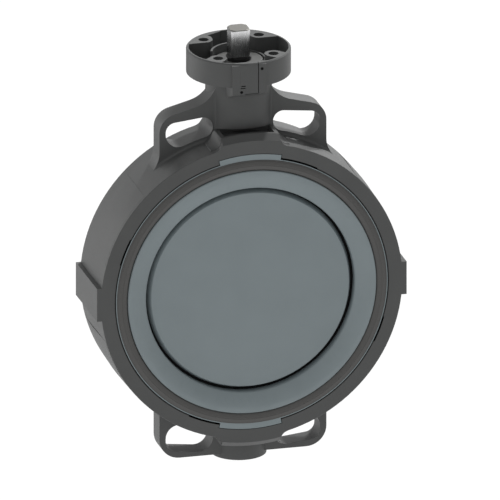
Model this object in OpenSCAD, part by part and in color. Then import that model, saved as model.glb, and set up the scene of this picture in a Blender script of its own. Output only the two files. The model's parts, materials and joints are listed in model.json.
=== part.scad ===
// Wafer butterfly valve with a plastic body, a double-offset disc and a bare square stem head.
// Y runs along the pipe, Z up the stem, and the origin is where the two axes cross.
// Lengths are in millimetres. Clock angles run clockwise from the top, seen from the front.

/* [Body ring] */
// Length of the body along the pipe, face to face
body_l = 71.6; // [68:0.1:84]
// Distance of the stem axis behind the front face
stem_back = 45; // [43:0.5:48]
// Wall of the body ring, from the bore that takes the lining to the outside at its faces
ring_wall = 12.7; // [11:0.1:15]
// How much the moulding draft widens the ring at the parting plane
ring_draft = 0.4; // [0.1:0.1:0.8]
// Height of the shallow raised panels on the ring
panel_rise = 0.5; // [0.2:0.1:1]
// Reach of the side lugs beyond the ring
lug_reach = 3.7; // [2:0.1:6]
// Height of the side lugs
lug_h = 30; // [20:1:44]

/* [Centring pads] */
// Height of the top and bottom pads above the ring
pad_rise = 3.5; // [2.5:0.1:4.5]
// How far the flared lip rises above the pad
lip_rise = 5; // [4:0.1:6]
// Distance of the lip's crest behind the face
lip_back = 5.5; // [4:0.1:7]
// Thickness of the lip's crest
lip_t = 3; // [2:0.1:4]
// Half angle of a pad at its top
pad_half_a = 10.4; // [9:0.1:11]
// Radius of the blend between a pad's side and the ring
pad_blend_r = 8; // [7:0.1:9]
// Height of the shadow slot between the lip and the neck
slot_h = 3.5; // [2.5:0.1:4]
// Wall left between the shadow slot and the stem's bore
slot_wall = 2.2; // [1.6:0.1:3]

/* [Bolt loops] */
// Distance of the loops' front plane behind the front face
loop_back = 30; // [27:0.5:33]
// Thickness of the loops along the pipe
loop_t = 20; // [18:0.5:24]
// Half width over the loops
loop_x = 74.8; // [72:0.1:78]
// Thickness of a loop's upright side
loop_side_t = 5.6; // [4.5:0.1:7]
// Upright thickness of an upper arm where its corner begins
arm_t = 8.2; // [7:0.1:9.5]
// Height above the ring where an upper arm's top reaches the stem plane, if it ran straight on
arm_rise = 39.2; // [35:0.1:43]
// Fall of the upper arms, in degrees
arm_a = 14.7; // [12:0.1:16]
// Depth of the lower loops below the ring
low_reach = 23.1; // [21:0.1:26]
// Upright thickness of a lower loop's floor where its corner begins
low_t = 5.8; // [5:0.1:6.6]
// Fall of the openings' outer sides, in degrees
opening_a = 6.1; // [5:0.1:7]
// Rise above the ring of the web that the openings end on
web_rise = 4.1; // [3.5:0.1:4.6]
// Outer corner radius of the loops
loop_corner_r = 17; // [15:0.5:19]
// Radius of the openings' outer corners
loop_inner_r = 9; // [8:0.1:9.9]
// Radius of the blend between an opening's upright side and the web
loop_foot_r = 12; // [10:0.5:13]
// Radius of the blend between an opening's inner end and the web
loop_heel_r = 6; // [5:0.5:8]
// Distance of the openings' inner ends from the stem plane
opening_in = 27; // [25:0.5:29]
// Radius of the blend between an upper loop's side and the ring
side_blend_r = 22; // [18:0.5:26]
// Radius of the blend between a lower loop's side and the ring
low_blend_r = 12; // [10:0.5:14]
// Radius of the blend between the loops' front and the ring
base_blend_r = 3; // [2:0.1:4]
// Fillet between an arm's top and the neck
arm_fillet_r = 26; // [22:0.5:28]

/* [Neck, top flange and bottom boss] */
// Radius of the neck
neck_r = 29; // [27:0.5:30]
// Distance of the neck's flat back in front of the rear face
neck_flat = 2.4; // [2:0.1:3]
// Radius of the upright blends between the neck and the loops' front
neck_blend_r = 3; // [2:0.1:4]
// Height of the top flange's face above the ring
neck_h = 75; // [68:0.5:82]
// Thickness of the top flange
flange_t = 22; // [20:0.5:24]
// Radius of the top flange
flange_r = 45.5; // [44:0.5:50]
// Thickness of the top flange's rim
rim_t = 2.2; // [1.8:0.1:3.4]
// Depth of the cored pockets in the top flange
pocket_h = 14; // [12:0.5:15]
// Pitch circle diameter of the actuator bolts
bolt_pcd = 70; // [70:1:72]
// Radius of the actuator bolt holes
bolt_r = 4.5; // [4.2:0.1:5]
// Radius of the bosses round the bolt holes
bolt_boss_r = 7.8; // [7.4:0.1:8.2]
// Outer radius of the hub ring inside the top flange
hub_r = 24.3; // [23.8:0.1:25]
// Drop of the hub ring's raised stretch below the flange's face
hub_drop = 4.3; // [3:0.1:6]
// Rise of that stretch above the gland cap and the rest of the hub ring
hub_rise = 6.6; // [5.5:0.1:7.5]
// Start of the raised stretch, in degrees from the right side
hub_rise_a0 = 90; // [70:1:110]
// Extent of the raised stretch, in degrees
hub_rise_a = 75; // [50:1:90]
// Thickness of the flange's wall behind the front panel
front_wall_t = 5; // [4.6:0.1:6]
// Radius of the bottom boss
boss_r = 24.3; // [23:0.1:25]
// Depth of the bottom boss below the ring
boss_reach = 27.1; // [26:0.1:30]

/* [Front panel] */
// Left edge of the block on the flange's front
block_x0 = -17.3; // [-19:0.1:-15]
// Right edge of the block on the flange's front
block_x1 = 13.2; // [12:0.1:16]
// Left edge of the snap-in panel
panel_x0 = -10.1; // [-11:0.1:-9]
// Right edge of the snap-in panel
panel_x1 = 5.6; // [4:0.1:7]
// Height of the snap-in panel
panel_h = 25.4; // [22:0.1:26]
// Thickness of the snap-in panel
panel_t = 2.4; // [2:0.1:3]
// Radius of the two pin holes beside the panel
pin_hole_r = 1.3; // [1:0.1:1.6]

/* [Stem] */
// Radius of the stem
stem_r = 11; // [10.4:0.1:11.4]
// Width of the square head, across its flats
square_w = 17; // [16:0.1:18]
// Height of the stem's top above the top flange's face
stem_reach = 17.6; // [16:0.5:21]
// Length of the square head
square_l = 25.5; // [22:0.5:28]
// Depth of the stem's foot below the ring
foot_reach = 13; // [11.5:0.1:14]
// Width of the key between the stem and the disc
key_w = 6; // [5:0.1:7]
// Length of the key
key_l = 70; // [50:1:90]

/* [Lining and seals] */
// Radial gap between the lining and the body's bore
lining_gap = 0.6; // [0.3:0.05:0.7]
// Width of the lining's land outside a face seal
outer_land_w = 1.3; // [1:0.1:2]
// Radial width of the face seals
face_seal_w = 9.2; // [8:0.1:10]
// Width of the lining's land inside a face seal
inner_land_w = 5.7; // [5:0.1:7]
// Depth of the face seals' groove
groove_h = 4; // [3:0.1:5]
// How far the lining's inner lip stands proud of the body's face
lip_proud = 1.5; // [0.5:0.1:2]
// Radial width of the funnel
funnel_w = 11; // [9:0.5:13]
// Depth of the funnel behind the body's face
funnel_h = 3.8; // [3:0.1:5]
// Width of the rounded edge between the funnel and the mouth
mouth_lip = 1.1; // [0.8:0.1:1.4]
// Gap between the disc's edge and the mouth behind the funnel
mouth_gap = 4.5; // [4:0.1:5]
// Distance of the seat's mid-plane behind the front face
seat_back = 15; // [14:0.1:16]
// Width of the seat seal in its groove
seat_w = 7; // [6:0.1:8]
// Radial height of the seat seal outside the mouth
seat_h = 12.6; // [11:0.1:14]
// Half angle of the locating tabs
tab_half_a = 12.8; // [11:0.1:14]
// Turn of each locating tab off the stem plane, towards the left, in degrees
tab_turn = 0.6; // [0:0.1:1]
// Reach of the locating tabs outside the lining
tab_reach = 4.3; // [3.5:0.1:5]
// Depth of the locating tabs
tab_h = 8; // [6:0.5:10]
// Radial width of the dark fitting slots
fit_slot_w = 1.1; // [0.9:0.1:1.6]
// Depth of the dark fitting slots
fit_slot_h = 12; // [9:0.5:14]

/* [Disc] */
// Radius of the disc's front edge
disc_r = 88.9; // [88:0.1:89.4]
// Distance of the disc's face behind the front face
disc_back = 5.9; // [5.5:0.1:7]
// Thickness of the disc's rim
disc_t = 14; // [12:0.5:16]
// Width of the flat rim round the shallow dome on the face
disc_rim_w = 13.4; // [11:0.1:16]
// Rise of the shallow dome
dome_rise = 1.6; // [0.8:0.1:2]
// Radius of the disc's hub
disc_hub_r = 18.5; // [18:0.5:21]
// Reach of the hub's ends beyond the disc's edge
hub_reach = 4.1; // [3:0.1:4.8]
// Thickness of the ribs on the disc's back
rib_t = 6; // [4:0.5:8]
// Spacing of the ribs on the disc's back
rib_step = 30; // [26:1:34]

/* [Bushes and rings] */
// Outer radius of the stem's bearing bushes
bush_r = 16; // [15.8:0.1:16.2]
// Outer radius of the disc's bushes
disc_bush_r = 15.5; // [15.2:0.1:15.6]
// Thickness of an O-ring's section
oring_d = 2.3; // [2:0.1:2.6]
// Radius of the gland cap's flange
cap_r = 21; // [20:0.1:21.5]
// Thickness of the gland cap's flange
cap_t = 4; // [3:0.1:5]
// Thickness of the thrust washer
washer_t = 2; // [1.5:0.1:3]
// Thickness of the circlips
clip_t = 1.3; // [1:0.1:1.5]
// Thickness of the bottom cap
bottom_cap_t = 8; // [7:0.1:9]

/* [Fits] */
// Radial clearance of a turning fit
running_gap = 0.05; // [0.03:0.01:0.08]
// Radial clearance of a piece that is pressed or slid into its seat
seat_gap = 0.05; // [0.02:0.01:0.08]
// Clearance between the disc's rim and the seat seal
seal_gap = 0.07; // [0.04:0.01:0.1]
// Clearance round the disc's swing inside the lining
swing_gap = 0.5; // [0.3:0.1:0.6]
// Width of the visible seam round the front panel
seam_gap = 0.7; // [0.4:0.1:1]
// Clearance round the locating tabs
tab_gap = 0.5; // [0.3:0.1:0.8]

/* [Hidden] */
$fn = 96;

body_color = [0.30, 0.31, 0.31];
lining_color = [0.44, 0.48, 0.49];
seal_color = [0.28, 0.28, 0.27];
bush_color = [0.85, 0.84, 0.80];
oring_color = [0.10, 0.10, 0.10];
steel_color = [0.72, 0.72, 0.70];
over = 1;
mouth_r = disc_r + mouth_gap;
funnel_r0 = mouth_r + mouth_lip;
funnel_r1 = funnel_r0 + funnel_w;
face_seal_r0 = funnel_r1 + inner_land_w;
face_seal_r1 = face_seal_r0 + face_seal_w;
lining_r = face_seal_r1 + outer_land_w;
ring_bore_r = lining_r + lining_gap;
ring_r = ring_bore_r + ring_wall;
tab_r = lining_r + tab_reach;
seat_r = mouth_r + seat_h;
dome_r = disc_r - disc_rim_w;
hub_end = disc_r + hub_reach;
ring_edge = 0.4;
flange_z = ring_r + neck_h;
boss_z = ring_r + boss_reach;
stem_top = flange_z + stem_reach;
stem_foot = ring_r + foot_reach;
arm_z = ring_r + arm_rise;
low_z = ring_r + low_reach;
web_r = ring_r + web_rise;
y_front = -stem_back;
y_rear = body_l - stem_back;
y_seat = y_front + seat_back;
y_loop = y_front + loop_back;
y_loop_end = y_loop + loop_t;
pad_r = ring_r + pad_rise;
lip_r = pad_r + lip_rise;
foot_x = lip_r * sin(pad_half_a);
neck_z0 = lip_r - 1;
flange_z0 = flange_z - flange_t;
block_y = 0.2 - flange_r;
hub_top = flange_z - hub_drop;
y_disc = y_front + disc_back;
y_disc_end = y_disc + disc_t;
edge_r = 0.5;
swing_r = norm([disc_r, y_disc + edge_r]);
cavity_r = swing_r + swing_gap;
stem_bore_r = stem_r + running_gap;
bush_bore_r = bush_r + seat_gap;
bush_z0 = tab_r + tab_gap;
cap_z1 = hub_top - hub_rise;
cap_z0 = cap_z1 - cap_t;
spigot_h = 9;
bush_z1 = cap_z0 - spigot_h;
counterbore_r = hub_r - 1.8;
disc_bush_z1 = lining_r - 0.7;
disc_bush_z0 = hub_end - 10;
lining_hole_r = disc_bush_r + 0.08;
disc_oring_r = disc_bush_r + 0.04 - oring_d;
oring_r = oring_d / 2;
groove_w = oring_d + 0.2;
lower_bush_z1 = stem_foot - 4;
washer_z = stem_foot + 0.3;
bottom_cap_z = washer_z + washer_t;
bottom_clip_z = bottom_cap_z + bottom_cap_t + 0.1;
square_z = stem_top - square_l;
block_z0 = flange_z0 - 6;
block_d = 16;
panel_top = flange_z - 2.2;
// Start and end of each dark fitting slot, as clock angles
fit_slots = [[12, 28.5], [106, 117], [193, 207.3], [286.5, 298]];

// Points along an arc, for outlines
function arc(c, r, a0, a1, n = 10) = [for (i = [0:n]) let (a = a0 + (a1 - a0) * i / n) c + r * [cos(a), sin(a)]];

// Turn a profile of radius and place along the pipe into a ring about the pipe axis
module ring_of(profile) {
    rotate([-90, 0, 0]) rotate_extrude() polygon(profile);
}

// The same over a stretch of clock angles
module ring_part(profile, a0, a1) {
    rotate([-90, 0, 0]) rotate([0, 0, a0 - 90]) rotate_extrude(angle = a1 - a0) polygon(profile);
}

// Box profile for rings
function band(r0, r1, y0, y1) = [[r0, y0], [r1, y0], [r1, y1], [r0, y1]];

// A cylinder along the pipe
module pipe_cylinder(r, y0, y1) {
    translate([0, y0, 0]) rotate([-90, 0, 0]) cylinder(r = r, h = y1 - y0);
}

// A cylinder along the stem
module stem_cylinder(r, z0, z1) {
    translate([0, 0, z0]) cylinder(r = r, h = z1 - z0);
}

// Extrude an outline drawn in the front view along the pipe
module front_outline(y0, y1) {
    translate([0, y1, 0]) rotate([90, 0, 0]) linear_extrude(y1 - y0) children();
}

// An O-ring round the stem axis
module oring(inner_r, z) {
    translate([0, 0, z]) rotate_extrude() translate([inner_r + oring_r, 0]) circle(r = oring_r, $fn = 24);
}

// Mirror a feature to both sides of the stem
module both_sides() {
    children();
    mirror([1, 0, 0]) children();
}

// Mirror a feature to the top and the bottom
module top_and_bottom() {
    children();
    mirror([0, 0, 1]) children();
}

// Outer body

// Height of an upper arm's top at a distance from the stem
function arm_top(x) = arm_z - x * tan(arm_a);

// Corner centre of an arc of radius r that is tangent to an upper arm's line and to an upright
function arm_corner(x, r) = [x, arm_top(x) - r / cos(arm_a)];

// Centre of an arc of radius r, at x, that rests on a circle of radius on round the pipe axis
function resting(on, x, r) = [x, sqrt(pow(on + r, 2) - x * x)];

// Direction of a point from the pipe axis, in degrees
function direction(p) = atan2(p[1], p[0]);

// Side of a loop from its corner down to the ring, which it joins in a blend of radius r
function loop_side(r) = let (c = resting(ring_r, loop_x + r, r)) arc(c, r, 180, 180 + direction(c));

// Outline of an upper loop, on the right
module upper_loop_outline() {
    fillet_x = neck_r - 6 + arm_fillet_r;
    fillet_c = [fillet_x, arm_top(fillet_x) + arm_fillet_r / cos(arm_a)];
    corner_c = arm_corner(loop_x - loop_corner_r, loop_corner_r);
    polygon(concat([[0, ring_bore_r + 2], [0, fillet_c[1]]], arc(fillet_c, arm_fillet_r, 180, 270 - arm_a),
        arc(corner_c, loop_corner_r, 90 - arm_a, 0), loop_side(side_blend_r)));
}

// Outline of a lower loop, on the right, drawn upwards and mirrored down
module lower_loop_outline() {
    corner_r = loop_corner_r + 1;
    corner_c = [loop_x - corner_r, low_z - corner_r];
    polygon(concat([[0, ring_bore_r + 2], [0, low_z]], arc(corner_c, corner_r, 90, 0), loop_side(low_blend_r)));
}

// Opening of a loop; its outer side falls outwards through height z over the loop's corner
module opening_outline(z, in_r, heel_r) {
    out_x = loop_x - loop_side_t;
    in_x = opening_in + in_r;
    corner_x = out_x - loop_inner_r;
    fall = tan(opening_a);
    over_x = loop_x - loop_corner_r;
    in_c = [in_x, z + (over_x - in_x) * fall - in_r / cos(opening_a)];
    out_c = [corner_x, z + (over_x - corner_x) * fall - loop_inner_r / cos(opening_a)];
    foot_c = resting(web_r, out_x - loop_foot_r, loop_foot_r);
    heel_c = resting(web_r, opening_in + heel_r, heel_r);
    polygon(concat(arc(in_c, in_r, 180, 90 - opening_a), arc(out_c, loop_inner_r, 90 - opening_a, 0),
        arc(foot_c, loop_foot_r, 0, direction(foot_c) - 180),
        arc([0, 0], web_r, direction(foot_c), direction(heel_c), 16),
        arc(heel_c, heel_r, direction(heel_c) + 180, 180)));
}

module upper_opening_outline() {
    opening_outline(arm_top(loop_x - loop_corner_r) - arm_t, loop_inner_r, loop_heel_r + 3);
}

// Opening of a lower loop, drawn upwards
module lower_opening_outline() {
    opening_outline(low_z - low_t, loop_inner_r + 3, loop_heel_r);
}

// Blends of the loops' front with the ring and with the neck
module loop_blends() {
    y0 = y_loop - base_blend_r;
    base_c = [ring_r + base_blend_r, y0];
    base = concat([[ring_r - 1, y_loop + over], [ring_r - 1, y0]], arc(base_c, base_blend_r, 180, 90),
        [[ring_r + base_blend_r, y_loop + over]]);
    blend_y = y_loop - neck_blend_r;
    blend_x = sqrt(pow(neck_r + neck_blend_r, 2) - blend_y * blend_y);
    both_sides() {
        intersection() {
            ring_of(base);
            front_outline(y0 - over, y_loop + over) upper_loop_outline();
        }
        mirror([0, 0, 1]) intersection() {
            ring_of(base);
            front_outline(y0 - over, y_loop + over) lower_loop_outline();
        }
        intersection() {
            linear_extrude(flange_z0 + over) polygon(concat(
                [[blend_x, y_loop + over], [blend_x - 8, y_loop + over]],
                arc([blend_x, blend_y], neck_blend_r, direction([-blend_x, -blend_y]), 90)));
            front_outline(y_loop - neck_r, y_loop + over) upper_loop_outline();
        }
    }
}

module bolt_loops() {
    both_sides() {
        front_outline(y_loop, y_loop_end) difference() {
            upper_loop_outline();
            upper_opening_outline();
        }
        mirror([0, 0, 1]) front_outline(y_loop, y_loop_end) difference() {
            lower_loop_outline();
            lower_opening_outline();
        }
    }
}

// Ring with the moulding draft, its apex on the parting plane
module body_ring() {
    parting_y = y_front + stem_back - 3;
    ring_of([[ring_bore_r, y_front], [ring_r - ring_edge, y_front], [ring_r, y_front + ring_edge],
        [ring_r + ring_draft, parting_y], [ring_r, y_rear - ring_edge], [ring_r - ring_edge, y_rear],
        [ring_bore_r, y_rear]]);
}

// Shallow raised panels between the lugs and the loops
module ring_panels() {
    panel_r = ring_r + ring_draft + panel_rise;
    for (a = [45, 105, 225, 285]) {
        ring_part([[ring_r - 2, y_front + 3], [ring_r + 0.1, y_front + 3], [panel_r, y_front + stem_back - 3],
            [ring_r + 0.1, y_rear - 3], [ring_r - 2, y_rear - 3]], a, a + 30);
    }
}

// Wedge that bounds a pad, seen from the front, with a blend down to the ring on both sides
module pad_wedge() {
    blend_p = blend_centre(0, pad_blend_r);
    blend_c = [blend_p[0], blend_p[2]];
    blend = arc(blend_c, pad_blend_r, 180, 180 + atan2(blend_c[1], blend_c[0]), 8);
    polygon(concat([[0, 0]], [for (i = [8:-1:0]) [-blend[i][0], blend[i][1]]],
        [[-foot_x, lip_r + 8], [foot_x, lip_r + 8]], blend));
}

// Flared lip that starts at a face; side is 1 at the front and -1 at the rear
module pad_lip(y_face, side) {
    crest_y = y_face + side * lip_back;
    crest_end = crest_y + side * lip_t;
    intersection() {
        ring_of([[ring_bore_r + 4, y_face], [pad_r, y_face], [lip_r, crest_y], [lip_r, crest_end],
            [lip_r - 1.5, crest_end + side * 0.6], [ring_bore_r + 4, crest_end + side * 0.6]]);
        front_outline(y_front - over, y_rear + over) pad_wedge();
    }
}

// Pads, their lips and the raised band between them that carries the neck and the boss
module pads() {
    top_and_bottom() {
        pad_lip(y_front, 1);
        pad_lip(y_rear, -1);
        intersection() {
            ring_of(band(ring_bore_r + 4, pad_r, y_front, y_rear));
            front_outline(y_front - over, y_rear + over) pad_wedge();
        }
    }
}

// A cone between two points, of radius r0 at the first and r1 at the second
module cone_between(p0, p1, r0, r1) {
    d = p1 - p0;
    translate(p0) rotate([0, acos(d[2] / norm(d)), atan2(d[1], d[0])]) cylinder(r1 = r0, r2 = r1, h = norm(d));
}

// Centre of a blend of radius r between a pad's side and the ring
function blend_centre(y, r) = let (c = resting(ring_r, foot_x + r, r)) [c[0], y, c[1]];

// Raised band from a lip's crest back to the loops, which closes the shadow slot's ends; its side blend widens
module neck_feet() {
    end_x = foot_x + 1.3 * pad_blend_r;
    end_z = sqrt(pow(ring_r - 0.4, 2) - end_x * end_x);
    foot_z = sqrt(lip_r * lip_r - foot_x * foot_x);
    y0 = y_front + lip_back;
    y1 = y_loop + 1;
    p0 = blend_centre(y0, pad_blend_r);
    p1 = blend_centre(y1, 2 * pad_blend_r);
    top_and_bottom() both_sides() difference() {
        intersection() {
            ring_of(band(ring_bore_r + 4, lip_r, y0, y1));
            front_outline(y0, y1)
                polygon([[0, 0], [0, lip_r + over], [foot_x, lip_r + over], [foot_x, foot_z], [end_x, end_z]]);
        }
        cone_between(p0 - (p1 - p0) / 4, p1 + (p1 - p0) / 4, pad_blend_r * 3 / 4, pad_blend_r * 9 / 4);
    }
    top_and_bottom() intersection() {
        ring_of(band(ring_bore_r + 4, lip_r, y_loop_end - 1, y_rear - lip_back));
        front_outline(y_front - over, y_rear + over) pad_wedge();
    }
}

// Neck, flange, hub and bottom boss before their bores
module neck_and_flange() {
    intersection() {
        stem_cylinder(neck_r, neck_z0, flange_z0 + over);
        translate([-neck_r - over, -neck_r - over, neck_z0])
            cube([2 * neck_r + 2 * over, neck_r + over + y_rear - neck_flat, flange_z0]);
    }
    stem_cylinder(neck_r - 6, ring_bore_r - 4, neck_z0 + over);
    difference() {
        stem_cylinder(flange_r, flange_z0, flange_z);
        translate([0, 0, flange_z - 1]) difference() {
            stem_cylinder(flange_r + over, 0, 2);
            cylinder(r1 = flange_r, r2 = flange_r - 1, h = 1);
        }
    }
    stem_cylinder(boss_r, -boss_z, -ring_bore_r + 4);
    front_block();
}

// Block on the flange's front that holds the snap-in panel
module front_block() {
    translate([block_x0, 0, 0]) rotate([90, 0, 90]) linear_extrude(block_x1 - block_x0)
        polygon([[block_y, block_z0], [block_y, flange_z - 1.2], [block_y + block_d, flange_z - 1.2],
            [-neck_r + 6, flange_z0], [-neck_r + 6, block_z0 - 8], [-neck_r + 1, block_z0 - 8]]);
}

// Plan of the web from a rear boss to the rim: straight in front, and widening towards the back
module rear_web_plan() {
    b = bolt_pcd / 2 * cos(45);
    polygon([[b, b - bolt_boss_r], [flange_r, b - bolt_boss_r], [flange_r, flange_r], [5.5, flange_r],
        [5.5, b + 16.4], [b - 6, b + 9.6], [b - 8, b + 6], [b - 8, b]]);
}

// Plan of the cored pockets in the top flange
module pocket_plan() {
    b = bolt_pcd / 2 * sin(45);
    difference() {
        circle(r = flange_r - rim_t);
        circle(r = hub_r);
        for (a = [45:90:315]) rotate(a) translate([bolt_pcd / 2, 0]) circle(r = bolt_boss_r);
        for (a = [225, 315]) rotate(a) translate([bolt_pcd / 2, -bolt_boss_r])
            square([flange_r - bolt_pcd / 2, 2 * bolt_boss_r]);
        rear_web_plan();
        mirror([1, 0]) rear_web_plan();
        translate([-b, -flange_r]) square([2 * b, front_wall_t]);
    }
}

// Bores and pockets of the neck and the flange
module neck_cuts() {
    translate([0, 0, flange_z - pocket_h]) linear_extrude(pocket_h + over) pocket_plan();
    difference() {
        stem_cylinder(hub_r + over, cap_z1, flange_z + over);
        translate([0, 0, cap_z1 - over]) rotate([0, 0, hub_rise_a0]) rotate_extrude(angle = hub_rise_a)
            translate([counterbore_r - over, 0]) square([hub_r - counterbore_r + over, hub_rise + over]);
    }
    stem_cylinder(counterbore_r, cap_z0, flange_z + over);
    stem_cylinder(bush_bore_r, 0, cap_z0 + over);
    stem_cylinder(bush_bore_r, -boss_z - over, 0);
    stem_cylinder(bush_r + 1.6, -bottom_clip_z - clip_t - 0.1, -bottom_clip_z + 0.1);
    for (a = [45:90:315]) rotate(a) translate([bolt_pcd / 2, 0, flange_z0 - over])
        cylinder(r = bolt_r, h = flange_t + 2 * over, $fn = 48);
}

// Recess for the panel and the two pin holes beside it
module panel_cuts() {
    front_outline(block_y - over, block_y + panel_t) panel_outline(seat_gap, seam_gap);
    translate([panel_x1, block_y - over, panel_top - over]) cube([seam_gap, front_wall_t + 2 * over, 2 * over + 2.2]);
    for (p = [[panel_x1 + 3.5, flange_z - 5.5], [panel_x0 + 0.9, flange_z0 - 3.8]])
        translate([p[0], block_y - over, p[1]]) rotate([-90, 0, 0]) cylinder(r = pin_hole_r, h = 7, $fn = 24);
}

// Outline of the snap-in panel, grown by a tight gap at the left and top and a seam at the right and below
module panel_outline(tight = 0, seam = 0) {
    notch_x = panel_x0 + 4.5;
    notch_z = panel_top - panel_h + 5.7;
    polygon([[panel_x0 - tight, panel_top + tight], [panel_x1 + seam, panel_top + tight],
        [panel_x1 + seam, panel_top - panel_h - seam], [notch_x - tight, panel_top - panel_h - seam],
        [notch_x - tight, notch_z - seam], [panel_x0 - tight, notch_z - seam]]);
}

// Dark slot between the front lips and the neck or the boss
module shadow_slots() {
    slot_a = pad_half_a - 1.4;
    slot_y = y_front + lip_back + lip_t;
    slot_end = -bush_bore_r - slot_wall;
    top_and_bottom() ring_part(band(pad_r + 0.5, pad_r + 0.5 + slot_h, slot_y, slot_end), -slot_a, slot_a);
    top_and_bottom() difference() {
        ring_part(band(pad_r + 0.5, lip_r + over, slot_y, slot_end), -slot_a, slot_a);
        stem_cylinder(boss_r, ring_bore_r, lip_r + 2 * over);
    }
}

// Notches for the lining's tabs and the narrow fitting slots, at a face; side is 1 at the front
module face_notches(y_face, side) {
    for (a = [-tab_turn, 180 + tab_turn]) {
        ring_part(band(ring_bore_r - 2, tab_r + tab_gap, min(y_face - side, y_face + side * (tab_h + 0.2)),
            max(y_face - side, y_face + side * (tab_h + 0.2))), a - tab_half_a - 0.25, a + tab_half_a + 0.25);
    }
    for (s = fit_slots) {
        ring_part(band(ring_bore_r - 2, ring_bore_r + fit_slot_w, min(y_face - side, y_face + side * fit_slot_h),
            max(y_face - side, y_face + side * fit_slot_h)), s[0], s[1]);
    }
}

module outer_body() color(body_color) difference() {
    union() {
        body_ring();
        ring_panels();
        both_sides() translate([ring_r - 4, y_front, -lug_h / 2])
            cube([lug_reach + 4, body_l, lug_h]);
        pads();
        neck_feet();
        bolt_loops();
        loop_blends();
        neck_and_flange();
    }
    pipe_cylinder(ring_bore_r, y_front - over, y_rear + over);
    neck_cuts();
    panel_cuts();
    shadow_slots();
    face_notches(y_front, 1);
    face_notches(y_rear, -1);
}

module front_panel() color(body_color) {
    difference() {
        front_outline(block_y, block_y + panel_t) panel_outline();
        front_outline(block_y - over, block_y + panel_t + over)
            translate([panel_x0 + 0.6, panel_top - panel_h + 6.8]) square([4, 0.9]);
    }
}

// Lining and seals

// Front half of the face profile of the lining, from the outer edge to the mouth; side is 1 at the front
function face_profile(y_face, side) = [
    [lining_r, y_face], [face_seal_r1, y_face], [face_seal_r1, y_face + side * groove_h],
    [face_seal_r0, y_face + side * groove_h], [face_seal_r0, y_face - side * (lip_proud - 0.6)],
    [face_seal_r0 - 0.6, y_face - side * lip_proud], [funnel_r1, y_face - side * lip_proud]];

// Locating tabs at a face
module tabs(y_face, side) {
    for (a = [-tab_turn, 180 + tab_turn]) {
        ring_part(band(lining_r - 1, tab_r, min(y_face, y_face + side * tab_h), max(y_face, y_face + side * tab_h)),
            a - tab_half_a, a + tab_half_a);
    }
}

module front_inner_ring() color(lining_color) {
    funnel_y = y_front + funnel_h;
    ring_of(concat(face_profile(y_front, 1), [[funnel_r0 + 0.4, funnel_y - 0.2], [funnel_r0 - 0.4, funnel_y + 0.3],
        [mouth_r + 0.2, funnel_y + 1], [mouth_r, funnel_y + 1.8], [mouth_r, y_seat - seat_w / 2],
        [seat_r + seat_gap, y_seat - seat_w / 2], [seat_r + seat_gap, y_seat], [lining_r, y_seat]]));
    tabs(y_front, 1);
}

module rear_inner_ring() color(lining_color) {
    difference() {
        union() {
            ring_of(concat([[mouth_r - 8, y_seat + seat_w / 2], [mouth_r - 8, y_rear - 6], [cavity_r, y_rear - 6]],
                [for (p = [6:-1:0]) face_profile(y_rear, -1)[p]],
                [[lining_r, y_seat], [seat_r + seat_gap, y_seat], [seat_r + seat_gap, y_seat + seat_w / 2]]));
            tabs(y_rear, -1);
        }
        sphere(r = cavity_r, $fn = 180);
        pipe_cylinder(cavity_r, 0, y_rear + over + lip_proud);
        stem_cylinder(lining_hole_r, -lining_r - over, lining_r + over);
    }
}

// Profile seal with its round bead, in a face groove; side is 1 at the front
module face_seal(y_face, side) {
    mid_r = (face_seal_r0 + face_seal_r1) / 2;
    r0 = face_seal_r0 + seat_gap;
    r1 = face_seal_r1 - seat_gap;
    color(seal_color) ring_of(concat([[r0, y_face + side * groove_h], [r0, y_face - side * 0.9],
        [mid_r - 1.8, y_face - side * 0.9]],
        [for (i = [1:7]) [mid_r - 1.6 * cos(i * 22.5), y_face - side * (0.9 + 1.1 * sin(i * 22.5))]],
        [[mid_r + 1.8, y_face - side * 0.9], [r1 - 0.5, y_face - side * 0.8], [r1, y_face - side * 0.4],
        [r1, y_face + side * groove_h]]));
}

module front_face_seal() face_seal(y_front, 1);

module rear_face_seal() face_seal(y_rear, -1);

module seat_seal() color(seal_color) difference() {
    ring_of([[mouth_r - 8, y_seat - 1.6], [mouth_r + 2, y_seat - seat_w / 2], [seat_r, y_seat - seat_w / 2],
        [seat_r, y_seat + seat_w / 2], [mouth_r + 3, y_seat + seat_w / 2], [mouth_r - 8, y_seat + 1.6]]);
    sphere(r = swing_r + seal_gap, $fn = 180);
}

// Disc

// Rounded end of the hub, limited by the swing
module disc_hub() {
    stem_cylinder(disc_hub_r, -hub_end, hub_end);
    translate([-disc_hub_r, y_disc_end - over, -hub_end]) cube([2 * disc_hub_r, -y_disc_end + over, 2 * hub_end]);
}

module disc_ribs() {
    for (z = [-2 * rib_step:rib_step:2 * rib_step]) {
        both_sides() translate([0, 0, z - rib_t / 2]) linear_extrude(rib_t)
            polygon([[disc_hub_r - 6, y_disc_end - over], [disc_hub_r - 6, 6], [disc_hub_r + 4, -2],
                [disc_r - 8, y_disc_end + 3], [disc_r - 4, y_disc_end - over]]);
    }
}

// Shallow dome on the disc's face
module disc_dome() {
    dome_sphere_r = (dome_r * dome_r + dome_rise * dome_rise) / (2 * dome_rise);
    intersection() {
        pipe_cylinder(dome_r, y_disc - dome_rise - over, y_disc + 1);
        translate([0, y_disc - dome_rise + dome_sphere_r, 0]) sphere(r = dome_sphere_r, $fn = 360);
    }
}

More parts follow.
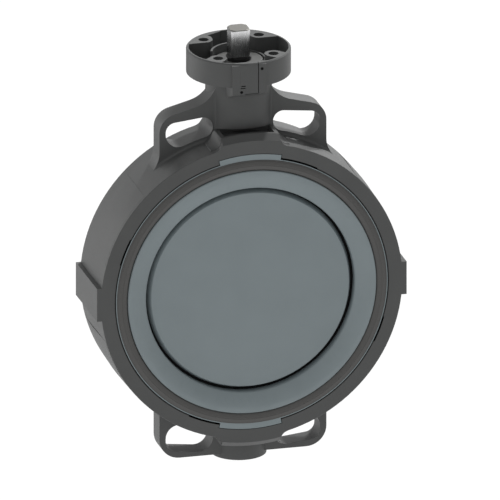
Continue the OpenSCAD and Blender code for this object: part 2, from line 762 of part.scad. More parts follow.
module disc() color(lining_color) difference() {
    union() {
        intersection() {
            sphere(r = swing_r, $fn = 180);
            union() {
                ring_of([[0, y_disc], [disc_r - edge_r, y_disc], [disc_r, y_disc + edge_r],
                    [disc_r + 9, y_disc + edge_r + 9], [disc_r + 9, y_disc_end - 0.6],
                    [disc_r + 3.6, y_disc_end], [0, y_disc_end]]);
                disc_hub();
                disc_ribs();
            }
        }
        disc_dome();
    }
    stem_cylinder(stem_r + seat_gap, -hub_end - over, hub_end + over);
    top_and_bottom() stem_cylinder(disc_bush_r + seat_gap, disc_bush_z0, hub_end + over);
    translate([-key_w / 2 - seat_gap, 0, -key_l / 2 - seat_gap])
        cube([key_w + 2 * seat_gap, stem_r + key_w / 2 + seat_gap, key_l + 2 * seat_gap]);
}

// Stem and what turns with it

module stem() color(steel_color) difference() {
    union() {
        stem_cylinder(stem_r, -stem_foot, square_z);
        intersection() {
            translate([-square_w / 2, -square_w / 2, square_z - over]) cube([square_w, square_w, square_l + over]);
            union() {
                stem_cylinder(stem_r, square_z - over, stem_top - 1.2);
                translate([0, 0, stem_top - 1.2]) cylinder(r1 = stem_r, r2 = stem_r - 1.4, h = 1.2);
            }
        }
    }
    translate([-key_w / 2 - seat_gap, stem_r - key_w / 2, -key_l / 2 - seat_gap])
        cube([key_w + 2 * seat_gap, key_w, key_l + 2 * seat_gap]);
    translate([0, 0, -lower_bush_z1 - 0.4 - clip_t - 0.1]) difference() {
        cylinder(r = stem_r + over, h = clip_t + 0.2);
        translate([0, 0, -over]) cylinder(r = stem_r - 1, h = clip_t + 2 * over + 0.2);
    }
}

module stem_key() color(steel_color)
    translate([-key_w / 2, stem_r - key_w / 2 + seat_gap, -key_l / 2]) cube([key_w, key_w - seat_gap, key_l]);

// Open ring of spring steel, with its gap to the rear
module circlip(r0, r1, z) {
    translate([0, 0, z]) rotate([0, 0, 110]) rotate_extrude(angle = 320)
        translate([r0, 0]) square([r1 - r0, clip_t]);
}

module stem_circlip() color(steel_color)
    circlip(stem_r - 1 + seat_gap, stem_r + 2.4, -lower_bush_z1 - 0.4 - clip_t);

// Collar that turns with the disc, with two grooves for O-rings
module disc_bush(side) {
    z0 = min(side * disc_bush_z0, side * disc_bush_z1);
    color(bush_color) difference() {
        stem_cylinder(disc_bush_r, z0, z0 + disc_bush_z1 - disc_bush_z0);
        stem_cylinder(stem_bore_r, z0 - over, z0 + disc_bush_z1 - disc_bush_z0 + over);
        for (z = disc_oring_places()) translate([0, 0, side * z - groove_w / 2]) difference() {
            cylinder(r = disc_bush_r + over, h = groove_w);
            translate([0, 0, -over]) cylinder(r = disc_oring_r - 0.03, h = groove_w + 2 * over);
        }
    }
}

// Heights of the O-rings on a disc bush
function disc_oring_places() = [disc_bush_z1 - 5, disc_bush_z1 - 12];

module upper_disc_bush() disc_bush(1);

module lower_disc_bush() disc_bush(-1);

module disc_bush_orings() color(oring_color) {
    for (side = [-1, 1]) for (z = disc_oring_places()) oring(disc_oring_r, side * z);
}

// Bearings and closures in the body

// Heights of the O-rings outside and inside a bearing bush that runs from z0 to z1
function outer_oring_places(z0, z1) = [z0 + 5, z1 - 5];
function inner_oring_places(z0, z1) = [(z0 + z1) / 2];

module bearing_bush(z0, z1) {
    color(bush_color) difference() {
        stem_cylinder(bush_r, z0, z1);
        stem_cylinder(stem_bore_r, z0 - over, z1 + over);
        for (z = outer_oring_places(z0, z1)) translate([0, 0, z - groove_w / 2]) difference() {
            cylinder(r = bush_r + over, h = groove_w);
            translate([0, 0, -over]) cylinder(r = bush_r - oring_d - 0.05, h = groove_w + 2 * over);
        }
        for (z = inner_oring_places(z0, z1))
            stem_cylinder(stem_bore_r + oring_d + 0.05, z - groove_w / 2, z + groove_w / 2);
    }
}

module bush_orings(z0, z1) {
    color(oring_color) {
        for (z = outer_oring_places(z0, z1)) oring(bush_r - oring_d, z);
        for (z = inner_oring_places(z0, z1)) oring(stem_bore_r, z);
    }
}

module upper_bearing_bush() bearing_bush(bush_z0, bush_z1);

module lower_bearing_bush() mirror([0, 0, 1]) bearing_bush(bush_z0, lower_bush_z1);

module upper_bush_orings() bush_orings(bush_z0, bush_z1);

module lower_bush_orings() mirror([0, 0, 1]) bush_orings(bush_z0, lower_bush_z1);

module gland_cap() color(body_color) difference() {
    union() {
        stem_cylinder(cap_r - 0.5, cap_z0, cap_z1);
        stem_cylinder(cap_r, cap_z0, cap_z1 - 0.5);
        stem_cylinder(bush_r, cap_z0 - spigot_h, cap_z0 + over);
    }
    stem_cylinder(stem_bore_r, cap_z0 - spigot_h - over, cap_z1 + over);
    stem_cylinder(stem_bore_r + oring_d + 0.05, cap_z0 - groove_w, cap_z0);
    translate([0, 0, cap_z0 - spigot_h / 2 - groove_w / 2]) difference() {
        cylinder(r = bush_r + over, h = groove_w);
        translate([0, 0, -over]) cylinder(r = bush_r - oring_d - 0.05, h = groove_w + 2 * over);
    }
}

module gland_orings() color(oring_color) {
    oring(stem_bore_r, cap_z0 - groove_w / 2);
    oring(bush_r - oring_d, cap_z0 - spigot_h / 2);
}

module thrust_washer() color(bush_color) stem_cylinder(bush_r - 0.2, -washer_z - washer_t, -washer_z);

module bottom_cap() color(body_color) difference() {
    stem_cylinder(bush_r, -bottom_cap_z - bottom_cap_t, -bottom_cap_z);
    translate([0, 0, -bottom_cap_z - bottom_cap_t / 2 - groove_w / 2]) difference() {
        cylinder(r = bush_r + over, h = groove_w);
        translate([0, 0, -over]) cylinder(r = bush_r - oring_d - 0.05, h = groove_w + 2 * over);
    }
    stem_cylinder(bush_r - 6, -bottom_cap_z - bottom_cap_t - over, -bottom_cap_z - bottom_cap_t + 2);
}

module bottom_cap_oring() color(oring_color) oring(bush_r - oring_d, -bottom_cap_z - bottom_cap_t / 2);

module bottom_circlip() color(steel_color) circlip(bush_r - 2.4, bush_r + 1.5, -bottom_clip_z - clip_t);

outer_body();
front_inner_ring();
rear_inner_ring();
front_face_seal();
rear_face_seal();
seat_seal();
upper_bearing_bush();
lower_bearing_bush();
upper_bush_orings();
lower_bush_orings();
gland_cap();
gland_orings();
front_panel();
thrust_washer();
bottom_cap();
bottom_cap_oring();
bottom_circlip();
disc();
stem();
stem_key();
upper_disc_bush();
lower_disc_bush();
disc_bush_orings();
stem_circlip();
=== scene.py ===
import json
import math

import bmesh
import bpy
from mathutils import Matrix, Vector


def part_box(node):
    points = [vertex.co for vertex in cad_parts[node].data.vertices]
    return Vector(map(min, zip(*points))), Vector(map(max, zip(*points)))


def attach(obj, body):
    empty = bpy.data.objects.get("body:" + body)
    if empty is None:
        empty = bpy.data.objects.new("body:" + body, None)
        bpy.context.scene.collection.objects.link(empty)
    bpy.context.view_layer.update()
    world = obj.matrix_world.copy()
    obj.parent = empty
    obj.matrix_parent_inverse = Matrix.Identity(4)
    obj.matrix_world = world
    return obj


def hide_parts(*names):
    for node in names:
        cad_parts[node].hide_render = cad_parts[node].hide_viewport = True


# Wafer butterfly valve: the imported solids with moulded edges, finishes, studio and camera.
# Sizes and places of the valve are in millimetres, times MM where the scene takes metres.

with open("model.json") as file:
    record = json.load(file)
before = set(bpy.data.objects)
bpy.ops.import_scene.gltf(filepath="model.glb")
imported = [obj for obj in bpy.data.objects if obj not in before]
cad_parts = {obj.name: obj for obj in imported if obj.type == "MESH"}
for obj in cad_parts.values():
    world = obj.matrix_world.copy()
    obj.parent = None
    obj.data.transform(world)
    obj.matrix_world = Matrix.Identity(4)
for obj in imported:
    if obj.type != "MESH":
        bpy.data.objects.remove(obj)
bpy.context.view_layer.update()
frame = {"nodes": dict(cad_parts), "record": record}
nodes = frame["nodes"]

MM = 0.001

# Faces of the valve along the pipe: the lining's lips stand proud of the front and rear ones
LIP_PROUD = 1.5
FRONT_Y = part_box("front_inner_ring")[0].y / MM + LIP_PROUD
REAR_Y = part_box("rear_inner_ring")[1].y / MM - LIP_PROUD
BLOCK_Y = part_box("front_panel")[0].y / MM

# Heights on the stem
SQUARE_HEIGHT = 25.5
STEM_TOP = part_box("stem")[1].z / MM
SQUARE_FOOT = STEM_TOP - SQUARE_HEIGHT

# Face seals: inner radius and radius of the lip
SEAL_IN = 111.25
SEAL_LIP = 121.25

# Joint between body and lining: radii where painted shade in its gap starts on each of them and where it
# ends
BODY_SHADE_IN = 122.0
LINING_SHADE_IN = 121.3
SHADE_OUT = 129.0
# Radius inside which the body's colour is painted black, as shade deep in the gap round the lining
SHADED_BORE = 123.0

# Pin holes beside the front panel, across and up, and the black discs that fill them as painted shade
PIN_HOLES = ((9.1, 204.5), (-9.2, 184.2))
SHADE_DISC_RADIUS = 1.3
SHADE_DISC_LENGTH = 3.0
SHADE_DISC_PROUD = 0.03

# Rounding of crisp edges: the pieces, each with the width of its rounding
MOULDED_EDGES = (("outer_body", 0.6), ("front_inner_ring", 0.3), ("rear_inner_ring", 0.3), ("disc", 0.4),
                 ("front_panel", 0.25), ("gland_cap", 0.4), ("stem", 0.35))
ROUNDING_STEPS = 2
# Turn between two faces, in degrees, from which their edge is crisp and under which it is none
CRISP_FROM = 28.0
FLAT_UNDER = 0.6

# Range in which a noise mostly lies
NOISE_SPAN = (0.3, 0.7)
# Share of a colour that is left under full painted shade
SHADE_LEAVES = 0.05


# Node trees and objects

class Wiring:
    """A node tree, with short ways to add nodes, link them and do sums."""

    def __init__(self, tree):
        self.tree = tree

    def add(self, kind, **settings):
        made = self.tree.nodes.new(kind)
        for key, value in settings.items():
            setattr(made, key, value)
        return made

    def link(self, source, target):
        self.tree.links.new(source, target)

    def math(self, operation, *values):
        """One sum of numbers and outputs, in their order."""
        made = self.add("ShaderNodeMath", operation=operation)
        for socket, value in zip(made.inputs, values):
            if isinstance(value, (int, float)):
                socket.default_value = value
            else:
                self.link(value, socket)
        return made.outputs[0]


def new_object(name, data):
    made = bpy.data.objects.new(name, data)
    bpy.context.scene.collection.objects.link(made)
    return made


# Material building

class Finish(Wiring):
    """One material's node tree, with short ways to add what a moulded or turned surface needs."""

    def __init__(self, name):
        self.material = bpy.data.materials.new(name)
        self.material.use_nodes = True
        super().__init__(self.material.node_tree)
        self.tree.nodes.clear()
        output = self.add("ShaderNodeOutputMaterial")
        self.shader = self.add("ShaderNodeBsdfPrincipled")
        self.link(self.shader.outputs["BSDF"], output.inputs["Surface"])
        self.place = self.add("ShaderNodeTexCoord").outputs["Object"]

    def set(self, **values):
        for key, value in values.items():
            self.shader.inputs[key.replace("_", " ")].default_value = value

    def feed(self, **sources):
        for key, source in sources.items():
            self.link(source, self.shader.inputs[key.replace("_", " ")])

    def fed(self, label):
        """The output that already feeds one of the shader's sockets."""
        return self.shader.inputs[label].links[0].from_socket

    def stretched(self, scale):
        """Object coordinates scaled differently along each axis."""
        mapping = self.add("ShaderNodeMapping")
        mapping.inputs["Scale"].default_value = scale
        self.link(self.place, mapping.inputs["Vector"])
        return mapping.outputs["Vector"]

    def noise(self, scale, detail=2.0, roughness=0.5, vector=None):
        made = self.add("ShaderNodeTexNoise")
        made.inputs["Scale"].default_value = scale
        made.inputs["Detail"].default_value = detail
        made.inputs["Roughness"].default_value = roughness
        self.link(vector or self.place, made.inputs["Vector"])
        return made.outputs["Fac"]

    def remap(self, value, low, high, out_low, out_high):
        made = self.add("ShaderNodeMapRange")
        self.link(value, made.inputs["Value"])
        ends = {"From Min": low, "From Max": high, "To Min": out_low, "To Max": out_high}
        for socket, number in ends.items():
            made.inputs[socket].default_value = number
        return made.outputs["Result"]

    def ramp_up(self, distance, none_at, full_at):
        """0 as far as one distance in millimetres and 1 from the other on, rising between them."""
        return self.remap(distance, none_at * MM, full_at * MM, 0.0, 1.0)

    def mottle(self, cloud, dark, light):
        """Feed the colour from a noise: dark where it is low, light where it is high."""
        made = self.add("ShaderNodeValToRGB")
        for element, where, colour in zip(made.color_ramp.elements, NOISE_SPAN, (dark, light)):
            element.position = where
            element.color = (*colour, 1.0)
        self.link(cloud, made.inputs["Fac"])
        self.feed(Base_Color=made.outputs["Color"])

    def bump(self, height, depth, strength=1.0, under=None):
        """Fine relief, its depth in millimetres, on top of the relief under it."""
        made = self.add("ShaderNodeBump")
        made.inputs["Strength"].default_value = strength
        made.inputs["Distance"].default_value = depth * MM
        self.link(height, made.inputs["Height"])
        if under is not None:
            self.link(under, made.inputs["Normal"])
        return made.outputs["Normal"]

    def along(self, axis):
        """Place along one axis, in metres."""
        parts = self.add("ShaderNodeSeparateXYZ")
        self.link(self.place, parts.inputs["Vector"])
        return parts.outputs[axis]

    def radius_from_pipe(self):
        """Distance from the pipe's axis, in metres."""
        flat = self.add("ShaderNodeCombineXYZ")
        for axis in "XZ":
            self.link(self.along(axis), flat.inputs[axis])
        length = self.add("ShaderNodeVectorMath", operation="LENGTH")
        self.link(flat.outputs["Vector"], length.inputs[0])
        return length.outputs["Value"]

    def times(self, *factors):
        product = factors[0]
        for factor in factors[1:]:
            product = self.math("MULTIPLY", product, factor)
        return product

    def joint_painted_shade(self, r_in, r_out):
        """Painted shade in the joint of body and lining: all between two radii, none on the front and rear
        faces.
        """
        radius = self.radius_from_pipe()
        depth = self.along("Y")
        fade, unshaded, full_shade = 0.1, 0.03, 0.2
        return self.times(self.ramp_up(radius, r_in - fade, r_in), self.ramp_up(radius, r_out + fade, r_out),
                          self.ramp_up(depth, FRONT_Y + unshaded, FRONT_Y + full_shade),
                          self.ramp_up(depth, REAR_Y - unshaded, REAR_Y - full_shade))

    def darken(self, amount):
        """Scale down the colour that is fed, the more the larger the amount of painted shade, which is 0 to
        1.
        """
        scaled = self.add("ShaderNodeVectorMath", operation="SCALE")
        self.link(self.fed("Base Color"), scaled.inputs[0])
        self.link(self.remap(amount, 0.0, 1.0, 1.0, SHADE_LEAVES), scaled.inputs["Scale"])
        self.feed(Base_Color=scaled.outputs[0])


def shade(colour, factor):
    return tuple(c * factor for c in colour)


# Plastics

def moulded_plastic(name, colour, roughness, grain=1400.0, grain_depth=0.04, mottling=0.05):
    """Injection-moulded plastic: faint flow mottling, an even eroded grain and slightly uneven gloss."""
    made = Finish(name)
    cloud = made.noise(28.0, detail=4.0, roughness=0.55)
    made.mottle(cloud, shade(colour, 1.0 - mottling), shade(colour, 1.0 + mottling))
    fine = made.noise(grain, roughness=0.6)
    made.feed(Roughness=made.remap(fine, *NOISE_SPAN, roughness - 0.05, roughness + 0.05))
    soft = made.bump(made.noise(60.0), 0.12, strength=0.25)
    made.feed(Normal=made.bump(fine, grain_depth, strength=0.55, under=soft))
    return made


def body_plastic():
    """Dark filled plastic of the body, with painted shade: black inside its bore and darker in the joint
    round the lining.
    """
    made = moulded_plastic("body_plastic", (0.0672, 0.0692, 0.0685), roughness=0.52)
    made.set(Specular_IOR_Level=0.40)
    # Painted shade: the colour goes black inside the bore and darker in the joint, where the gap round the
    # lining lies in shade.
    made.darken(made.ramp_up(made.radius_from_pipe(), SHADED_BORE, SHADED_BORE - 0.3))
    made.darken(made.joint_painted_shade(BODY_SHADE_IN, SHADE_OUT))
    return made.material


def lining_plastic():
    """Blue-grey plastic of lining and disc, smoother than the body's, with the same painted shade in the
    joint.
    """
    made = moulded_plastic("lining_plastic", (0.197, 0.234, 0.246), roughness=0.44, grain=1800.0,
                           grain_depth=0.02, mottling=0.03)
    made.set(Specular_IOR_Level=0.4)
    # Painted shade: the colour goes darker in the joint, where the gap round the lining lies in shade.
    made.darken(made.joint_painted_shade(LINING_SHADE_IN, SHADE_OUT))
    return made.material


def cap_plastic():
    made = moulded_plastic("cap_plastic", (0.085, 0.086, 0.083), roughness=0.42, grain=1600.0,
                           grain_depth=0.02)
    return made.material


def bush_plastic():
    """Turned natural plastic with faint tool marks along the stem."""
    made = Finish("bush_plastic")
    rings = made.noise(1.0, vector=made.stretched((60.0, 60.0, 2600.0)))
    made.mottle(rings, (0.66, 0.64, 0.56), (0.76, 0.74, 0.67))
    made.feed(Roughness=made.remap(rings, 0.2, 0.8, 0.36, 0.5), Normal=made.bump(rings, 0.02, strength=0.5))
    return made.material


# Rubbers

def seal_rubber():
    """Matt elastomer with the fine rings that its mould leaves round the pipe."""
    made = Finish("seal_rubber")
    radians_per_metre = 9000.0
    wave = made.math("SINE", made.math("MULTIPLY", made.radius_from_pipe(), radians_per_metre))
    dust = made.noise(900.0, detail=3.0, roughness=0.7)
    made.mottle(dust, (0.060, 0.059, 0.057), (0.076, 0.075, 0.072))
    made.feed(Roughness=made.remap(dust, *NOISE_SPAN, 0.52, 0.66))
    rings = made.bump(made.remap(wave, -1.0, 1.0, 0.0, 1.0), 0.01, strength=0.25)
    made.feed(Normal=made.bump(dust, 0.03, strength=0.4, under=rings))
    return made.material


def seat_rubber():
    """Black elastomer of the seat, of which only a dark line shows round the disc."""
    made = Finish("seat_rubber")
    dust = made.noise(1200.0, roughness=0.6)
    made.mottle(dust, (0.0045, 0.0045, 0.0050), (0.0075, 0.0075, 0.0080))
    made.feed(Roughness=made.remap(dust, *NOISE_SPAN, 0.7, 0.85))
    made.set(Specular_IOR_Level=0.12)
    return made.material


def oring_rubber():
    made = Finish("oring_rubber")
    dust = made.noise(1500.0, roughness=0.6)
    made.mottle(dust, (0.016, 0.016, 0.016), (0.024, 0.024, 0.024))
    made.feed(Roughness=made.remap(dust, *NOISE_SPAN, 0.4, 0.55), Normal=made.bump(dust, 0.02, strength=0.4))
    return made.material


def plug_black():
    """Near-black, matt colour of the discs in the pin holes: painted shade that shows them as dark holes."""
    made = Finish("plug_black")
    made.mottle(made.noise(1800.0, roughness=0.6), (0.003, 0.003, 0.003), (0.006, 0.006, 0.006))
    made.set(Roughness=0.95, Specular_IOR_Level=0.05)
    return made.material


# Steels

def brushed_steel(name, colour, scratches_along, roughness, scratch=0.35):
    """Ground steel: fine scratches along one axis, with a faint tint from place to place."""
    made = Finish(name)
    stretch = [2200.0, 2200.0, 2200.0]
    stretch[scratches_along] = 40.0
    scratches = made.noise(1.0, detail=4.0, roughness=0.65, vector=made.stretched(stretch))
    made.mottle(made.noise(90.0, detail=3.0), shade(colour, 0.93), shade(colour, 1.04))
    made.feed(Roughness=made.remap(scratches, 0.25, 0.75, roughness - 0.07, roughness + 0.09))
    made.feed(Normal=made.bump(scratches, 0.02, strength=scratch))
    made.set(Metallic=1.0)
    return made


def stem_steel():
    """Ground square with bright flats, painted darker towards their foot as shade; its end is rougher with a
    painted darker beige tone standing in for its shading, its shoulder painted dark as shade in the recess.
    """
    end_painted_tone = (0.215, 0.211, 0.195)
    shoulder_painted_shade = 0.14
    foot_painted_shade = 0.42
    made = brushed_steel("stem_steel", (0.78, 0.78, 0.785), scratches_along=2, roughness=0.24, scratch=0.10)
    height = made.along("Z")
    # Painted shade: the end face takes a darker beige tone, the shoulder goes dark as in the recess's shade,
    # and the flats darken towards their foot.
    end = made.ramp_up(height, STEM_TOP - 0.9, STEM_TOP - 0.6)
    shoulder = made.ramp_up(height, SQUARE_FOOT + 1.2, SQUARE_FOOT + 0.4)
    fading_shade = made.remap(height, (SQUARE_FOOT + 4.0) * MM, (STEM_TOP - 6.0) * MM, foot_painted_shade, 1.0)
    below = made.times(made.remap(shoulder, 0.0, 1.0, 1.0, shoulder_painted_shade), fading_shade)
    tint = made.add("ShaderNodeCombineXYZ")
    for axis, share in zip("XYZ", end_painted_tone):
        made.link(made.times(made.remap(end, 0.0, 1.0, 1.0, share), below), tint.inputs[axis])
    shaded_colour = made.add("ShaderNodeVectorMath", operation="MULTIPLY")
    made.link(made.fed("Base Color"), shaded_colour.inputs[0])
    made.link(tint.outputs[0], shaded_colour.inputs[1])
    rougher = made.math("ADD", made.math("MULTIPLY", end, 0.28), made.math("MULTIPLY", shoulder, 0.25))
    made.feed(Base_Color=shaded_colour.outputs[0], Roughness=made.math("ADD", made.fed("Roughness"), rougher))
    return made.material


def clip_steel():
    return brushed_steel("clip_steel", (0.40, 0.39, 0.37), scratches_along=0, roughness=0.38).material


FINISHES = {
    "body_plastic": body_plastic(),
    "lining_plastic": lining_plastic(),
    "seal_rubber": seal_rubber(),
    "bush_plastic": bush_plastic(),
    "oring_rubber": oring_rubber(),
    "cap_plastic": cap_plastic(),
    "stem_steel": stem_steel(),
    "clip_steel": clip_steel(),
}
SLOTS = {part["node"]: part["material_slot"] for part in frame["record"]["subparts"]}


def give(piece, material):
    piece.data.materials.clear()
    piece.data.materials.append(material)


for node_name, node in nodes.items():
    give(node, FINISHES[SLOTS[node_name]])
give(nodes["seat_seal"], seat_rubber())


def source_body(node_name):
    """The body that a CAD node belongs to."""
    for body, members in frame["record"]["behaviour"]["bodies"].items():
        if node_name in members:
            return body
    raise ValueError(node_name)


# Moulded edges

def softened(node_name, width):
    """A copy of a CAD node with its crisp edges rounded, as a mould or a lathe leaves them."""
    mesh = nodes[node_name].data.copy()
    mesh.name = f"{node_name}_moulded"
    work = bmesh.new()
    work.from_mesh(mesh)
    bmesh.ops.remove_doubles(work, verts=work.verts, dist=0.002 * MM)
    bmesh.ops.dissolve_limit(work, angle_limit=math.radians(FLAT_UNDER), verts=work.verts, edges=work.edges,
                             use_dissolve_boundaries=False)
    for face in work.faces:
        face.smooth = True
    work.to_mesh(mesh)
    work.free()
    piece = new_object(f"{node_name}_moulded", mesh)
    if mesh.has_custom_normals:
        with bpy.context.temp_override(object=piece, active_object=piece, selected_objects=[piece]):
            bpy.ops.mesh.customdata_custom_splitnormals_clear()
    bevel = piece.modifiers.new("edges", "BEVEL")
    bevel.limit_method = "ANGLE"
    bevel.angle_limit = math.radians(CRISP_FROM)
    bevel.width = width * MM
    bevel.segments = ROUNDING_STEPS
    bevel.use_clamp_overlap = True
    bevel.harden_normals = True
    bevel.miter_outer = "MITER_ARC"
    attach(piece, source_body(node_name))
    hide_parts(node_name)


for moulded_node, rounding in MOULDED_EDGES:
    softened(moulded_node, rounding)


# Swept seals

class Recipe(Wiring):
    """A geometry node tree with named sizes, which is run once and leaves a plain mesh."""

    def __init__(self, name):
        super().__init__(bpy.data.node_groups.new(name, "GeometryNodeTree"))
        self.name = name
        self.tree.interface.new_socket("Geometry", in_out="OUTPUT", socket_type="NodeSocketGeometry")
        self.sizes_in = self.add("NodeGroupInput")
        self.result = self.add("NodeGroupOutput")
        self.sizes = {}

    def size(self, label, value, kind="NodeSocketFloat"):
        socket = self.tree.interface.new_socket(label, in_out="INPUT", socket_type=kind)
        self.sizes[socket.identifier] = value
        return self.sizes_in.outputs[label]

    def finish(self, geometry, material):
        """End the tree in real geometry with its material, run it and return the mesh as a new object."""
        real = self.add("GeometryNodeRealizeInstances")
        coat = self.add("GeometryNodeSetMaterial")
        coat.inputs["Material"].default_value = material
        self.link(geometry, real.inputs[0])
        self.link(real.outputs[0], coat.inputs[0])
        self.link(coat.outputs[0], self.result.inputs[0])
        holder = new_object(self.name, bpy.data.meshes.new(f"{self.name}_start"))
        grow = holder.modifiers.new("grow", "NODES")
        grow.node_group = self.tree
        for identifier, value in self.sizes.items():
            grow[identifier] = value
        bpy.context.view_layer.update()
        grown = holder.evaluated_get(bpy.context.evaluated_depsgraph_get())
        mesh = bpy.data.meshes.new_from_object(grown)
        holder.modifiers.remove(grow)
        holder.data = mesh
        return holder


def mould_line(recipe, share, where, half_width, depth):
    """Depth of a shallow round groove at one place across the seal's face, none elsewhere."""
    away = recipe.math("DIVIDE", recipe.math("SUBTRACT", share, where), half_width)
    dip = recipe.math("SUBTRACT", 1.0, recipe.math("MULTIPLY", away, away))
    return recipe.math("MULTIPLY", depth, recipe.math("MAXIMUM", dip, 0.0))


def seal_crown(recipe, share):
    """Height of the seal's face across its width: full shoulders, a low ridge and two mould lines."""
    sunk = recipe.size("Depth of the edges", 0.9 * MM)
    swell = recipe.size("Rise of the shoulders", 1.5 * MM)
    roof = recipe.size("Rise of the ridge", 1.3 * MM)
    line_depth = recipe.size("Depth of the mould lines", 0.3 * MM)
    line_width = recipe.size("Half width of the mould lines", 0.035)
    inner_line = recipe.size("Place of the inner line", 0.50)
    outer_line = recipe.size("Place of the outer line", 0.86)
    shoulder_curve = 10.0
    ridge_curve = 1.3
    calc = recipe.math
    off_centre = calc("ABSOLUTE", calc("SUBTRACT", calc("MULTIPLY", share, 2.0), 1.0))
    shoulders = calc("MULTIPLY", swell, calc("SUBTRACT", 1.0, calc("POWER", off_centre, shoulder_curve)))
    ridge = calc("MULTIPLY", roof, calc("SUBTRACT", 1.0, calc("POWER", off_centre, ridge_curve)))
    crown = calc("SUBTRACT", calc("ADD", shoulders, ridge), sunk)
    for where in (inner_line, outer_line):
        crown = calc("SUBTRACT", crown, mould_line(recipe, share, where, line_width, line_depth))
    return crown


def seal_ring(node_name, face_y, outwards):
    """Profile seal round the pipe: a crowned face over a plain foot that is sunk in its groove."""
    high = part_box(node_name)[1]
    recipe = Recipe(f"{node_name}_ring")
    inner = recipe.size("Inner radius", SEAL_IN * MM)
    outer = recipe.size("Outer radius in the groove", high.x)
    lip = recipe.size("Outer radius of the lip", SEAL_LIP * MM)
    face = recipe.size("Face", face_y * MM)
    proud = recipe.size("Direction outwards", float(outwards))
    depth = recipe.size("Depth in the groove", 3.9 * MM)
    around = recipe.size("Steps round the pipe", 288, "NodeSocketInt")
    across = recipe.size("Steps round the section", 121, "NodeSocketInt")
    calc = recipe.math

    # The sheet's width goes once round the pipe; its length goes over the face and back under the foot
    sheet = recipe.add("GeometryNodeMeshGrid")
    recipe.link(around, sheet.inputs["Vertices X"])
    recipe.link(across, sheet.inputs["Vertices Y"])
    place = recipe.add("ShaderNodeSeparateXYZ")
    recipe.link(recipe.add("GeometryNodeInputPosition").outputs[0], place.inputs[0])
    turn = calc("MULTIPLY", place.outputs["X"], 2.0 * math.pi)
    travel = calc("MULTIPLY", calc("ADD", place.outputs["Y"], 0.5), 2.0)
    share = calc("PINGPONG", travel, 1.0)
    on_top = calc("LESS_THAN", travel, 1.0001)

    floor = calc("MULTIPLY", depth, -1.0)
    rise = calc("ADD", calc("MULTIPLY", on_top, calc("SUBTRACT", seal_crown(recipe, share), floor)), floor)
    rim = calc("ADD", outer, calc("MULTIPLY", on_top, calc("SUBTRACT", lip, outer)))
    radius = calc("ADD", inner, calc("MULTIPLY", share, calc("SUBTRACT", rim, inner)))
    swept = recipe.add("ShaderNodeCombineXYZ")
    recipe.link(calc("MULTIPLY", radius, calc("SINE", turn)), swept.inputs["X"])
    recipe.link(calc("ADD", face, calc("MULTIPLY", proud, rise)), swept.inputs["Y"])
    recipe.link(calc("MULTIPLY", radius, calc("COSINE", turn)), swept.inputs["Z"])
    shape = recipe.add("GeometryNodeSetPosition")
    recipe.link(sheet.outputs["Mesh"], shape.inputs["Geometry"])
    recipe.link(swept.outputs[0], shape.inputs["Position"])
    closed = recipe.add("GeometryNodeMergeByDistance")
    closed.inputs["Distance"].default_value = 0.01 * MM
    recipe.link(shape.outputs[0], closed.inputs["Geometry"])
    smooth = recipe.add("GeometryNodeSetShadeSmooth")
    recipe.link(closed.outputs[0], smooth.inputs[0])

    piece = recipe.finish(smooth.outputs[0], FINISHES["seal_rubber"])
    work = bmesh.new()
    work.from_mesh(piece.data)
    bmesh.ops.recalc_face_normals(work, faces=work.faces)
    work.to_mesh(piece.data)
    work.free()
    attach(piece, source_body(node_name))
    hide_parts(node_name)


seal_ring("front_face_seal", FRONT_Y, -1)
seal_ring("rear_face_seal", REAR_Y, 1)


# Painted shade in the pin holes

def pin_hole_shade():
    """Black discs in the two pin holes beside the front panel, level with the block's face, as painted shade
    for the holes' dark inside.
    """
    work = bmesh.new()
    middle = BLOCK_Y - SHADE_DISC_PROUD + SHADE_DISC_LENGTH / 2.0
    lying = Matrix.Rotation(math.radians(90.0), 4, "X")
    for x, z in PIN_HOLES:
        bmesh.ops.create_cone(work, cap_ends=True, segments=32, radius1=SHADE_DISC_RADIUS * MM,
                              radius2=SHADE_DISC_RADIUS * MM, depth=SHADE_DISC_LENGTH * MM,
                              matrix=Matrix.Translation((x * MM, middle * MM, z * MM)) @ lying)
    mesh = bpy.data.meshes.new("pin_hole_shade")
    work.to_mesh(mesh)
    work.free()
    shade_discs = new_object("pin_hole_shade", mesh)
    # Painted shade: the black discs stand in for the shade inside the holes.
    give(shade_discs, plug_black())
    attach(shade_discs, "valve_body")


pin_hole_shade()


# Studio, in metres; azimuth 0 is straight in front of the valve and 90 to its right

FLOOR_HALF = 6.0
FLOOR_Z = -0.170
CLOTH_Z = -0.168
CLOTH_CORNERS = ((-0.44, 0.74), (-0.10, 0.74), (-0.02, 1.45), (-0.60, 1.45))
# Broad soft panels of the studio's tent: azimuth, elevation, sharpness and strength
SOFT_PANELS = ((0, 55, 5, 0.43), (45, 20, 4, 0.22), (90, 20, 4, 0.47), (135, 20, 4, 0.70),
               (180, 20, 4, 0.24), (225, 20, 4, 1.00), (270, 20, 4, 0.22), (315, 20, 4, 0.64))
# Key light from behind on the right, in two parts: azimuth, elevation, strength and spread in degrees
KEYS = ((134, 48, 2.6, 4.0), (142, 34, 1.0, 5.0))
# Area light behind on the left: place, width, height and power
LEFT_PANEL_PLACE = (-1.15, 0.80, 0.12)
LEFT_PANEL_WIDTH = 1.1
LEFT_PANEL_HEIGHT = 0.7
LEFT_PANEL_POWER = 3.6
WHITE = (1.0, 1.0, 1.0, 1.0)


def flat_sheet(name, corners, height):
    """One level face with its corners given across and back."""
    mesh = bpy.data.meshes.new(name)
    mesh.from_pydata([(x, y, height) for x, y in corners], [], [(0, 1, 2, 3)])
    return new_object(name, mesh)


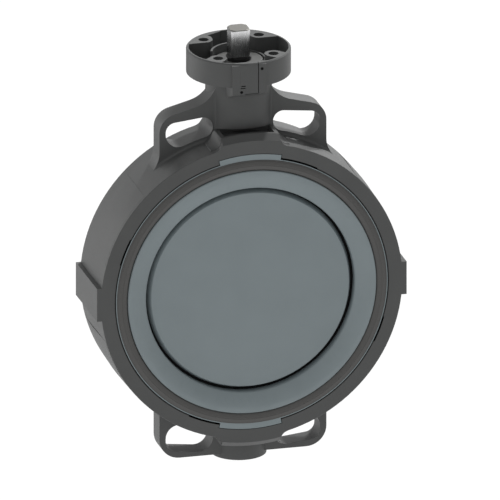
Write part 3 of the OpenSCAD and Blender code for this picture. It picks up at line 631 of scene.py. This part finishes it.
def studio_floor():
    """Wide floor under the bottom boss, glowing evenly as a light table does, so that it shows no shadow."""
    half = FLOOR_HALF
    floor = flat_sheet("studio_floor", ((-half, -half), (half, -half), (half, half), (-half, half)), FLOOR_Z)
    made = Finish("floor_paper")
    made.mottle(made.noise(3.0), (0.03, 0.03, 0.03), (0.04, 0.04, 0.04))
    made.set(Roughness=0.9, Specular_IOR_Level=0.0, Emission_Color=WHITE, Emission_Strength=1.0)
    give(floor, made.material)


def dark_cloth():
    """Black cloth on the floor behind on the left, out of view, for the stem's left flat to mirror."""
    cloth = flat_sheet("dark_cloth", CLOTH_CORNERS, CLOTH_Z)
    made = Finish("black_cloth")
    made.mottle(made.noise(800.0), (0.010, 0.009, 0.008), (0.018, 0.016, 0.014))
    made.set(Roughness=0.95, Specular_IOR_Level=0.0)
    give(cloth, made.material)


def from_compass(azimuth, elevation):
    """Unit vector towards a light."""
    a, e = math.radians(azimuth), math.radians(elevation)
    return math.sin(a) * math.cos(e), -math.cos(a) * math.cos(e), math.sin(e)


def studio_tent():
    """World light as a sum of soft panels, each strongest in its own direction."""
    world = bpy.data.worlds.new("studio")
    world.use_nodes = True
    sky = world.node_tree.nodes["Background"]
    wires = Wiring(world.node_tree)
    direction = wires.add("ShaderNodeTexCoord").outputs["Generated"]
    total = 0.0
    for azimuth, elevation, sharpness, strength in SOFT_PANELS:
        facing = wires.add("ShaderNodeVectorMath", operation="DOT_PRODUCT")
        wires.link(direction, facing.inputs[0])
        facing.inputs[1].default_value = from_compass(azimuth, elevation)
        lobe = wires.math("POWER", wires.math("MAXIMUM", facing.outputs["Value"], 0.0), float(sharpness))
        total = wires.math("ADD", wires.math("MULTIPLY", lobe, strength), total)
    wires.link(total, sky.inputs["Strength"])
    sky.inputs["Color"].default_value = WHITE
    bpy.context.scene.world = world


def shine_along(light, direction):
    light.rotation_mode = "QUATERNION"
    light.rotation_quaternion = direction.to_track_quat("-Z", "Y")


def key_lights():
    for number, (azimuth, elevation, strength, spread) in enumerate(KEYS):
        sun = bpy.data.lights.new(f"key_{number}", "SUN")
        sun.energy = strength
        sun.angle = math.radians(spread)
        shine_along(new_object(f"key_{number}", sun), -Vector(from_compass(azimuth, elevation)))


def left_panel():
    """Broad low panel behind on the left, for the faces that look that way."""
    data = bpy.data.lights.new("left_panel", "AREA")
    data.shape = "RECTANGLE"
    data.size, data.size_y = LEFT_PANEL_WIDTH, LEFT_PANEL_HEIGHT
    data.energy = LEFT_PANEL_POWER
    light = new_object("left_panel", data)
    light.location = LEFT_PANEL_PLACE
    shine_along(light, -light.location)


# Camera: how far left of the front and how far above it the camera stands, in degrees, the picture's width
# in metres, and how far the picture's middle lies right of and above the front face's centre
VIEW_LEFT = 14.887
VIEW_ABOVE = 19.865
PICTURE_WIDTH = 0.43290
MIDDLE_RIGHT = -0.00161
MIDDLE_ABOVE = 0.03603
CAMERA_DISTANCE = 1.6


def camera():
    """Parallel view of the front face from the left and above."""
    left, above = math.radians(VIEW_LEFT), math.radians(VIEW_ABOVE)
    right = Vector((math.cos(left), -math.sin(left), 0.0))
    up = Vector((math.sin(left) * math.sin(above), math.cos(left) * math.sin(above), math.cos(above)))
    back = right.cross(up)
    target = Vector((0.0, FRONT_Y * MM, 0.0)) + MIDDLE_RIGHT * right + MIDDLE_ABOVE * up
    data = bpy.data.cameras.new("camera")
    data.type = "ORTHO"
    data.ortho_scale = PICTURE_WIDTH
    data.clip_start, data.clip_end = 0.05, 20.0
    eye = new_object("camera", data)
    turn = Matrix((right, up, back)).transposed().to_4x4()
    eye.matrix_world = Matrix.Translation(target + back * CAMERA_DISTANCE) @ turn
    bpy.context.scene.camera = eye


studio_floor()
dark_cloth()
studio_tent()
key_lights()
left_panel()
camera()
bpy.context.scene.view_settings.view_transform = "Standard"
